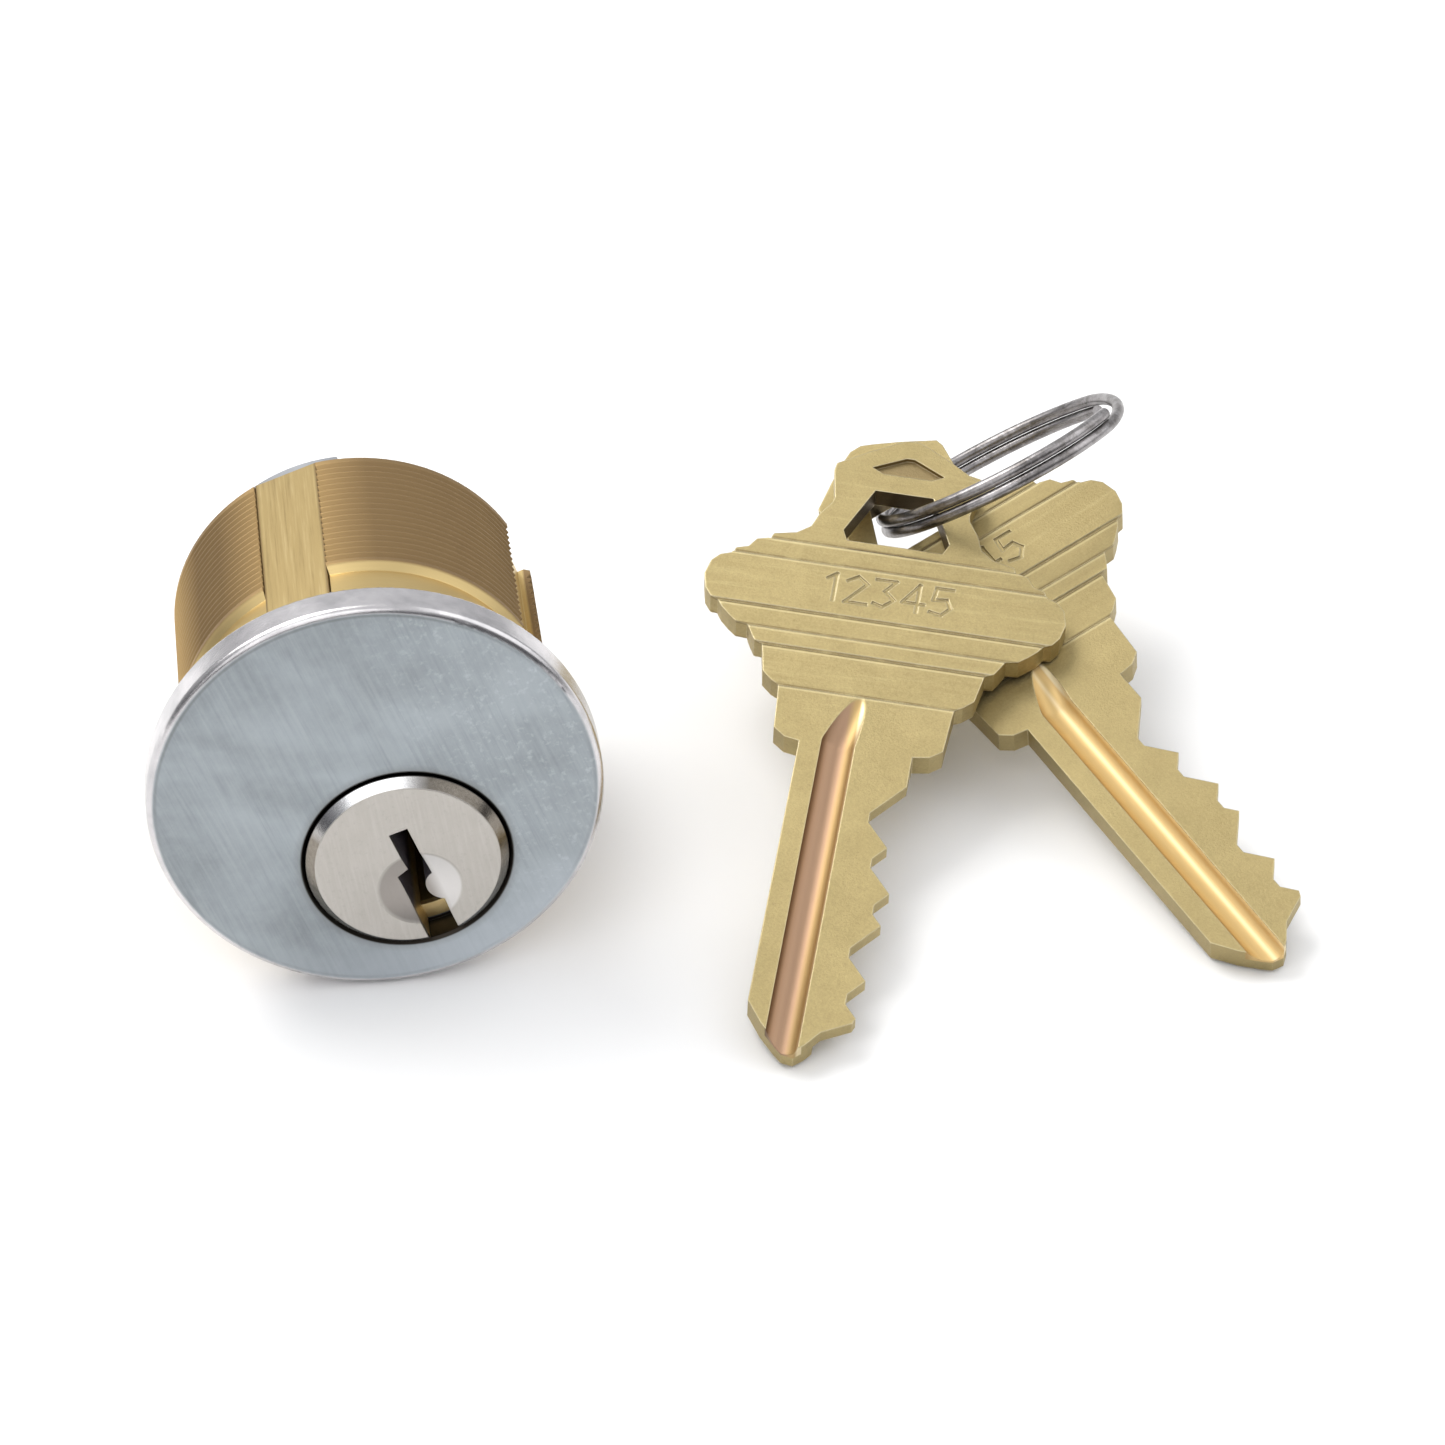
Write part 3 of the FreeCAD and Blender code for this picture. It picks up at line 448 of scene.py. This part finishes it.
        # painted shade: key B's whole surface is painted darker than key A's
        matte = g.mix(0.22, matte, rgb(0.24, 0.19, 0.09))
        milled = g.mix(streak, rgb(0.56, 0.39, 0.165), rgb(0.68, 0.50, 0.235))
        milled = g.mix(g.part(g.between(across, 0.60, 0.70, 0.06), 0.40), milled,
                       rgb(0.97, 0.88, 0.64))
        milled = g.mix(g.part(g.step(across, 0.72, 0.86), 0.6), milled,
                       rgb(0.86, 0.63, 0.30))
        milled = g.mix(g.part(g.step(across, 0.93, 0.98), 0.8), milled,
                       rgb(0.95, 0.86, 0.62))
        # painted shade along the lower edge of key B's groove
        milled = g.mix(g.part(g.step(across, 0.14, 0.02), 0.6), milled,
                       rgb(0.34, 0.22, 0.09))
    colour = g.mix(groove, matte, milled)
    rough = g.blend(groove, g.blend(wear_and_painted_light, g.blend(grain, 0.42, 0.56), 0.28),
                    g.blend(streak, 0.46, 0.58))
    height = g.blend(groove, g.math("ADD", grain, g.part(drag, 0.5)), streak)
    return g.metal(colour, rough, g.bump(height, 0.013, 0.14))


def ring_material():
    """Nickel-plated spring wire with draw marks and dull patches."""
    g = Graph("ring_steel")
    patch = g.step(g.noise(0.45, 3.0, 0.6, warp=0.6), 0.36, 0.62)
    mark = g.noise(2.6, 4.0, 0.7, warp=1.0)
    fine = g.noise(7.0, 3.0, 0.6)
    colour = g.mix(patch, rgb(0.17, 0.158, 0.152), rgb(0.34, 0.325, 0.325))
    colour = g.mix(g.part(g.step(mark, 0.52, 0.70), 0.45), colour, rgb(0.55, 0.54, 0.56))
    colour = g.mix(g.part(g.step(mark, 0.46, 0.30), 0.5), colour, rgb(0.10, 0.09, 0.085))
    return g.metal(colour, g.blend(fine, 0.26, 0.40), g.bump(fine, 0.004))


def plated_material(name, dark, light, rough):
    """Zinc or drawn steel on the small parts behind and inside the lock."""
    g = Graph(name, lock_frame())
    cloud = g.noise(0.5, 4.0, 0.65, warp=0.7)
    fine = g.noise(5.0, 3.0, 0.6, stretch=(8, 1, 1))
    colour = g.mix(cloud, rgb(*dark), rgb(*light))
    return g.metal(colour, g.blend(fine, rough - 0.07, rough + 0.1),
                   g.bump(fine, 0.01, 0.12))


def dress(material, *names):
    """Give CAD nodes one material."""
    for name in names:
        node = frame["nodes"][name]
        node.data.materials.clear()
        node.data.materials.append(material)


def coil(number, material):
    """Copy of a pin spring, attached to the cylinder in place of the CAD spring."""
    node = frame["nodes"]["pin_spring_%d" % number]
    piece = bpy.data.objects.new("coil_%d" % number, node.data.copy())
    bpy.context.scene.collection.objects.link(piece)
    piece.data.materials.clear()
    piece.data.materials.append(material)
    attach(piece, "cylinder")
    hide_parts("pin_spring_%d" % number)
    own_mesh(piece)


def floor():
    """Plain pale table under the set."""
    half = FLOOR_HALF
    mesh = bpy.data.meshes.new("floor")
    corners = [(-half, -half, 0), (half, -half, 0), (half, half, 0), (-half, half, 0)]
    mesh.from_pydata(corners, [], [(0, 1, 2, 3)])
    table = bpy.data.objects.new("floor", mesh)
    bpy.context.scene.collection.objects.link(table)
    material = bpy.data.materials.new("floor")
    material.use_nodes = True
    shader = material.node_tree.nodes["Principled BSDF"]
    shader.inputs["Base Color"].default_value = rgb(0.93, 0.93, 0.93)
    shader.inputs["Roughness"].default_value = 0.8
    shader.inputs["Specular IOR Level"].default_value = 0.2
    mesh.materials.append(material)


def softbox(name, place, size, watts, colour=(1, 1, 1)):
    """Square area light aimed at the middle of the set."""
    data = bpy.data.lights.new(name, "AREA")
    data.shape, data.size = "SQUARE", size
    data.energy, data.color = watts, colour
    lamp = bpy.data.objects.new(name, data)
    lamp.location = place
    lamp.rotation_euler = (-Vector(place)).to_track_quat("-Z", "Y").to_euler()
    bpy.context.scene.collection.objects.link(lamp)


def studio():
    """Sky that is bright overhead and behind and dim in front, and three softboxes."""
    world = bpy.data.worlds.new("studio")
    bpy.context.scene.world = world
    world.use_nodes = True
    tree = world.node_tree
    background = tree.nodes["Background"]
    coordinates = tree.nodes.new("ShaderNodeTexCoord")
    split = tree.nodes.new("ShaderNodeSeparateXYZ")
    behind = tree.nodes.new("ShaderNodeMath")
    behind.operation = "MULTIPLY_ADD"
    behind.inputs[1].default_value = 0.45
    ramp = tree.nodes.new("ShaderNodeValToRGB")
    tree.links.new(coordinates.outputs["Generated"], split.inputs[0])
    tree.links.new(split.outputs["Y"], behind.inputs[0])
    tree.links.new(split.outputs["Z"], behind.inputs[2])
    tree.links.new(behind.outputs[0], ramp.inputs["Fac"])
    tree.links.new(ramp.outputs["Color"], background.inputs["Color"])
    ramp.color_ramp.elements[0].position = 0.0
    ramp.color_ramp.elements[0].color = rgb(0.10, 0.10, 0.11)
    ramp.color_ramp.elements[1].position = 0.72
    ramp.color_ramp.elements[1].color = rgb(0.92, 0.93, 0.95)
    background.inputs["Strength"].default_value = 0.85
    softbox("key", (-0.42, 0.30, 0.62), 0.55, 4.6, (1.0, 0.985, 0.96))
    softbox("fill", (-0.25, -0.60, 0.55), 0.8, 2.6)
    softbox("side", (0.62, 0.10, 0.50), 0.8, 2.2)


def camera():
    """Long lens looking down on the set from in front."""
    data = bpy.data.cameras.new("camera")
    data.sensor_width = 36.0
    data.lens = CAMERA_LENS
    data.clip_start, data.clip_end = 0.01, 10.0
    eye = bpy.data.objects.new("camera", data)
    back = Vector((0, -math.cos(CAMERA_ELEVATION), math.sin(CAMERA_ELEVATION)))
    eye.location = Vector(CAMERA_TARGET) + CAMERA_DISTANCE * back
    eye.rotation_euler = (math.pi / 2 - CAMERA_ELEVATION, 0, 0)
    bpy.context.scene.collection.objects.link(eye)
    bpy.context.scene.camera = eye


dress(shell_material(), "cylinder_shell")
dress(cover_material(), "chamber_cover")
dress(plug_material(), "plug")
dress(plated_material("cam_zinc", (0.29, 0.30, 0.32), (0.44, 0.455, 0.48), 0.4), "cam")
dress(plated_material("screw_steel", (0.48, 0.48, 0.50), (0.68, 0.68, 0.70), 0.3),
      "cam_screws")
dress(plated_material("pin_brass", (0.58, 0.42, 0.18), (0.74, 0.58, 0.28), 0.26),
      *["%s_pin_%d" % (kind, i) for kind in ("key", "driver") for i in PIN_NUMBERS])
spring_steel = plated_material("spring_steel", (0.50, 0.50, 0.52), (0.70, 0.70, 0.72),
                               0.25)
dress(spring_steel, *["pin_spring_%d" % i for i in PIN_NUMBERS])
for i in PIN_NUMBERS:
    coil(i, spring_steel)
dress(key_material("key_a"), "key_a")
dress(key_material("key_b"), "key_b")
dress(ring_material(), "split_ring")

floor()
studio()
camera()
bpy.context.scene.view_settings.view_transform = "Standard"
